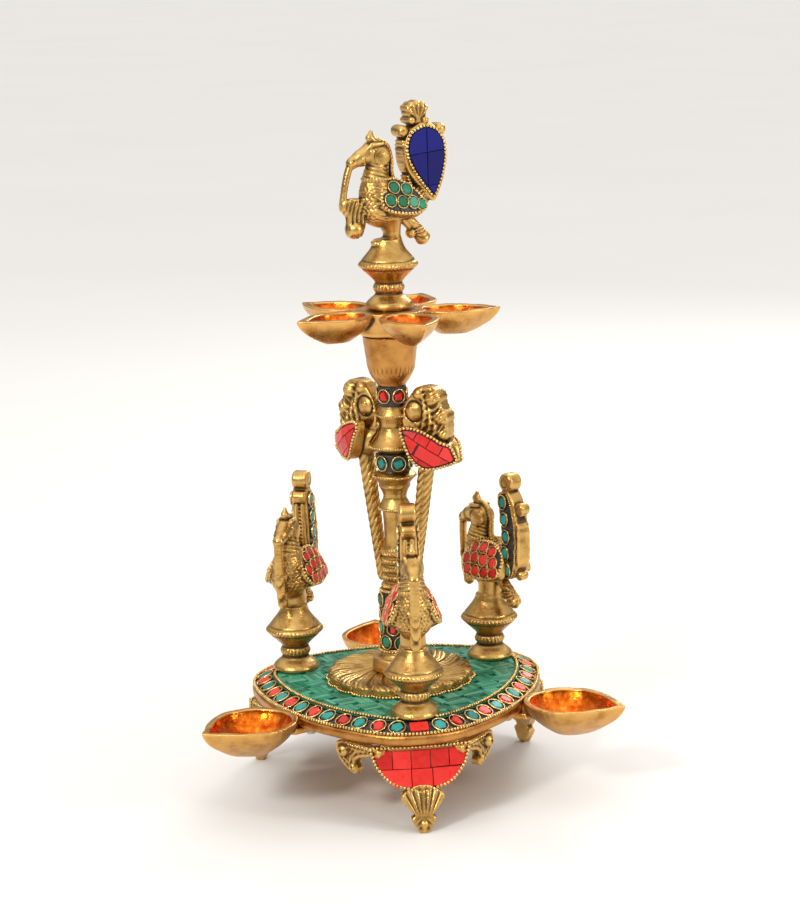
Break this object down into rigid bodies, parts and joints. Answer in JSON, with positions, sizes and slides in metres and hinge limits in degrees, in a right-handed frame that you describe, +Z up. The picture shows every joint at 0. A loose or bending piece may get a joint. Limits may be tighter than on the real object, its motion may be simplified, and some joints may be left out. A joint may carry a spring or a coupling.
{
  "type": "standing oil lamp",
  "caption": "Brass standing oil lamp with peacock castings, a turned stem, a tray of oil cups above, oil cups round a footed plate, and stone chip inlay.",
  "frame": {"origin": "the middle of the footprint (bounding box) on the table; the stem axis stands 18.3 mm in front of it", "axes": "+Z up along the stem, -Y to the front foot, +X to the right seen from the front"},
  "size_m": [0.2186, 0.2154, 0.3602],
  "materials": {
    "cast_brass": "cast, antiqued, satin",
    "brass_wire": "bright beaded and flattened wire",
    "copper_lacquer": "clear copper-orange lacquer inside the oil cups",
    "coral_stone": "polished chips",
    "turquoise_stone": "polished chips",
    "green_stone": "streaked, polished chips",
    "lapis_stone": "polished chips",
    "black_lac": "resin lac, semi-gloss",
    "plain_steel": "plain"
  },
  "bodies": {
    "base": {"base_plate": "cast_brass", "leg_front": "cast_brass", "leg_right": "cast_brass", "leg_left": "cast_brass", "diya_right": "cast_brass", "diya_left": "cast_brass", "diya_back": "cast_brass", "lotus_plate": "cast_brass", "stem_foot": "cast_brass", "stem_drum": "cast_brass", "stem_column": "cast_brass", "stem_baluster": "cast_brass", "tray_cup": "cast_brass", "bracket_right": "cast_brass", "bracket_left": "cast_brass", "outer_bead_wire": "brass_wire", "inner_bead_wire": "brass_wire", "border_rings": "brass_wire", "leg_beads": "brass_wire", "bracket_beads": "brass_wire", "border_stones_red": "coral_stone", "leg_tiles_front": "coral_stone", "leg_tiles_right": "coral_stone", "leg_tiles_left": "coral_stone", "drum_stones_red": "coral_stone", "band_stones_red": "coral_stone", "bracket_tiles": "coral_stone", "border_stones_turquoise": "turquoise_stone", "band_stones_turquoise": "turquoise_stone", "green_mosaic": "green_stone", "drum_stones_green": "green_stone", "border_lac": "black_lac", "stem_lac": "black_lac", "leg_screws": "plain_steel", "diya_screws": "plain_steel", "tie_rod": "plain_steel", "base_washer": "plain_steel", "base_nut": "plain_steel", "bird_screw_front": "plain_steel", "bird_screw_right": "plain_steel", "bird_screw_left": "plain_steel"},
    "tray": {"oil_tray": "cast_brass"},
    "finial_washer": {"finial_washer": "cast_brass"},
    "finial": {"finial_bird": "cast_brass", "finial_tail_tiles": "lapis_stone", "finial_wing_stones": "green_stone", "finial_beads": "brass_wire"},
    "bird_front_body": {"bird_front": "cast_brass", "bird_front_wing_stones": "coral_stone", "bird_front_tail_stones": "turquoise_stone"},
    "bird_right_body": {"bird_right": "cast_brass", "bird_right_wing_stones": "coral_stone", "bird_right_tail_stones": "turquoise_stone"},
    "bird_left_body": {"bird_left": "cast_brass", "bird_left_wing_stones": "coral_stone", "bird_left_tail_stones": "turquoise_stone"}
  },
  "joints": [
    {"name": "tray_turn", "type": "hinge", "parent": "base", "child": "tray", "pos_m": [0, -0.0183, 0.247], "axis": [0, 0, 1], "continuous": true},
    {"name": "finial_rise", "type": "slide", "parent": "base", "child": "finial_washer", "axis": [0, 0, 1], "range_m": [0, 0.0075]},
    {"name": "finial_turn", "type": "hinge", "parent": "finial_washer", "child": "finial", "pos_m": [0, -0.0183, 0.27], "axis": [0, 0, 1], "range_deg": [0, 2160]},
    {"name": "bird_front_turn", "type": "hinge", "parent": "base", "child": "bird_front_body", "pos_m": [0, -0.0798, 0.06], "axis": [0, 0, 1], "continuous": true},
    {"name": "bird_right_turn", "type": "hinge", "parent": "base", "child": "bird_right_body", "pos_m": [0.05326, 0.01245, 0.06], "axis": [0, 0, 1], "continuous": true},
    {"name": "bird_left_turn", "type": "hinge", "parent": "base", "child": "bird_left_body", "pos_m": [-0.05326, 0.01245, 0.06], "axis": [0, 0, 1], "continuous": true}
  ],
  "couplings": [
    {"joint": "finial_rise", "follows": "finial_turn", "m_per_rad": 0.00019894}
  ]
}
